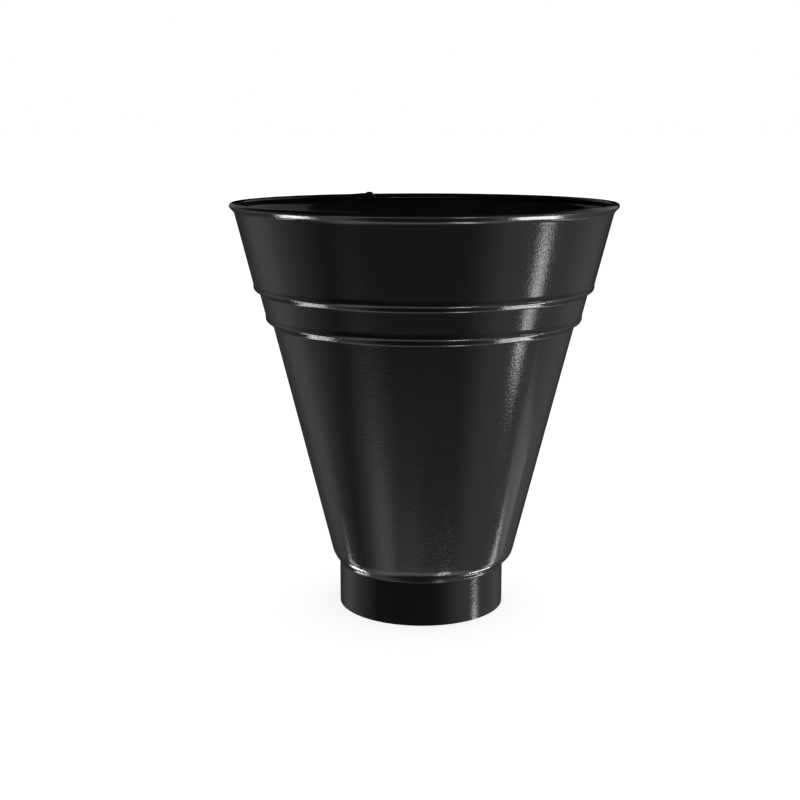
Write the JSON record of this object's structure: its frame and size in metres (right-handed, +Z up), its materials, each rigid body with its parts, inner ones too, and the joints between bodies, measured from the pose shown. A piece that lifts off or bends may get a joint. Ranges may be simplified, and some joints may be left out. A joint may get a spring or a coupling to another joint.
{
  "type": "downpipe hopper head",
  "caption": "Conical rainwater hopper head in black coated steel, with a rolled rim, stepped wall and round spigot outlet for a downpipe.",
  "frame": {"origin": "the point on the base that lies under the centre of the rim; the spigot is centred 1.0 mm to the left of it, towards -X", "axes": "+Z up along the cone's axis, -Y towards the picture's camera, +X to the camera's right; the lock seam is at the back, 19 degrees to the left of +Y"},
  "size_m": [0.2232, 0.2231, 0.2406],
  "materials": {
    "coated_steel": "satin black polyester coating on galvanised steel"
  },
  "bodies": {
    "root": {"hopper_body": "coated_steel"}
  },
  "joints": []
}
